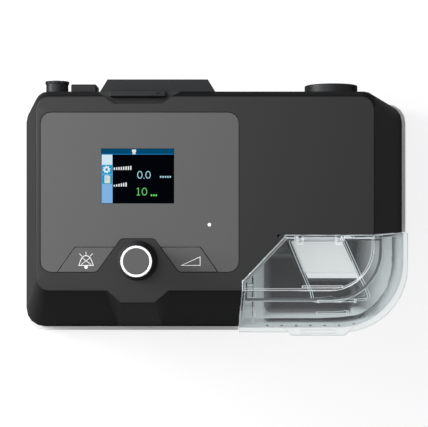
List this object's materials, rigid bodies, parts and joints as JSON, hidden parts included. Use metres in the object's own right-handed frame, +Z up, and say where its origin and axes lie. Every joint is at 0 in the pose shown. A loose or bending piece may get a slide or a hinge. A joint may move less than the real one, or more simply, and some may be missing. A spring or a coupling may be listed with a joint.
{
  "type": "cpap machine",
  "caption": "Bedside positive airway pressure machine with control panel, display, push-and-turn knob and a removable clear humidifier tank.",
  "frame": {"origin": "middle of the footprint, on the surface that the feet stand on", "axes": "+X along the machine's width towards the tank side, +Y to the rear connectors, +Z up out of the control panel"},
  "size_m": [0.2913, 0.1882, 0.127],
  "materials": {
    "dark_shell": "fine moulded texture, satin black",
    "gray_panel": "smooth matt mid gray",
    "light_gray_tray": "light gray, satin",
    "dark_gray_trim": "dark gray, satin",
    "clear_tank": "clear moulded polycarbonate",
    "frosted_plastic": "frosted",
    "display_glass": "glossy black window",
    "white_plastic": "white, satin",
    "gray_rubber": "matt rubber",
    "steel": "plain steel",
    "circuit_board": "green laminate",
    "filter_foam": "pale non-woven filter"
  },
  "bodies": {
    "machine": {"top_shell": "dark_shell", "base_tray": "light_gray_tray", "foot_front_left": "gray_rubber", "foot_front_right": "gray_rubber", "foot_rear_left": "gray_rubber", "foot_rear_right": "gray_rubber", "case_screw_front_left": "steel", "case_screw_front_middle": "steel", "case_screw_rear_left": "steel", "case_screw_rear_right": "steel", "control_panel": "gray_panel", "display_window": "display_glass", "display_module": "dark_gray_trim", "status_light_pipe": "white_plastic", "control_board": "circuit_board", "mute_switch": "dark_gray_trim", "ramp_switch": "dark_gray_trim", "encoder_body": "dark_gray_trim", "dock_liner": "dark_gray_trim", "heater_plate": "steel", "heater_pad": "gray_rubber", "inlet_port_seal": "gray_rubber", "outlet_port_seal": "gray_rubber", "outlet_collar": "dark_shell", "outlet_port": "dark_gray_trim", "power_inlet_boss": "dark_shell", "power_jack": "steel", "cover_hinge_pin": "steel", "inlet_plenum": "dark_gray_trim", "air_filter": "filter_foam", "blower_lower_housing": "dark_gray_trim", "blower_upper_housing": "dark_gray_trim", "blower_motor": "steel", "blower_mount_1": "gray_rubber", "blower_mount_2": "gray_rubber", "blower_mount_3": "gray_rubber", "blower_duct": "dark_gray_trim", "outlet_duct": "dark_gray_trim", "main_board": "circuit_board"},
    "tank": {"tank_tub": "clear_tank", "tank_base_plate": "steel", "tank_seal": "gray_rubber", "tank_air_guide": "clear_tank", "inlet_deflector": "frosted_plastic", "lid_hinge_pin": "steel"},
    "tank_lid": {"tank_lid": "clear_tank"},
    "knob_plunger": {"encoder_plunger": "steel"},
    "knob": {"knob_body": "dark_shell", "knob_cap": "gray_panel", "knob_light_ring": "white_plastic", "encoder_shaft": "steel"},
    "mute_button": {"mute_button": "gray_panel"},
    "ramp_button": {"ramp_button": "gray_panel"},
    "blower_rotor": {"impeller": "white_plastic", "motor_shaft": "steel"},
    "filter_cover": {"filter_cover": "dark_shell"},
    "wireless_module": {"wireless_module": "dark_shell"},
    "data_port_cover": {"data_port_cover": "dark_shell"}
  },
  "joints": [
    {"name": "tank_slide", "type": "slide", "parent": "machine", "child": "tank", "axis": [0, -1, 0], "range_m": [0, 0.075]},
    {"name": "lid_open", "type": "hinge", "parent": "tank", "child": "tank_lid", "pos_m": [0.0702, -0.0183, 0.1097], "axis": [-1, 0, 0], "range_deg": [0, 95]},
    {"name": "knob_press", "type": "slide", "parent": "machine", "child": "knob_plunger", "axis": [0, 0, -1], "range_m": [0, 0.001], "stiffness_N_per_m": 1500, "springref_m": -0.0005},
    {"name": "knob_turn", "type": "hinge", "parent": "knob_plunger", "child": "knob", "pos_m": [-0.0533, -0.033, 0.113], "axis": [0, 0, 1], "continuous": true},
    {"name": "mute_press", "type": "slide", "parent": "machine", "child": "mute_button", "axis": [0, 0, -1], "range_m": [0, 0.0008], "stiffness_N_per_m": 1200, "springref_m": -0.0004},
    {"name": "ramp_press", "type": "slide", "parent": "machine", "child": "ramp_button", "axis": [0, 0, -1], "range_m": [0, 0.0008], "stiffness_N_per_m": 1200, "springref_m": -0.0004},
    {"name": "impeller_spin", "type": "hinge", "parent": "machine", "child": "blower_rotor", "pos_m": [-0.0483, 0.0145, 0.035], "axis": [0, 0, 1], "continuous": true},
    {"name": "filter_cover_open", "type": "hinge", "parent": "machine", "child": "filter_cover", "pos_m": [-0.0403, 0.0855, 0.0367], "axis": [-1, 0, 0], "range_deg": [0, 90]},
    {"name": "module_pull", "type": "slide", "parent": "machine", "child": "wireless_module", "axis": [0, 0, 1], "range_m": [0, 0.012]},
    {"name": "data_cover_pull", "type": "slide", "parent": "machine", "child": "data_port_cover", "axis": [0, 1, 0], "range_m": [0, 0.012]}
  ]
}
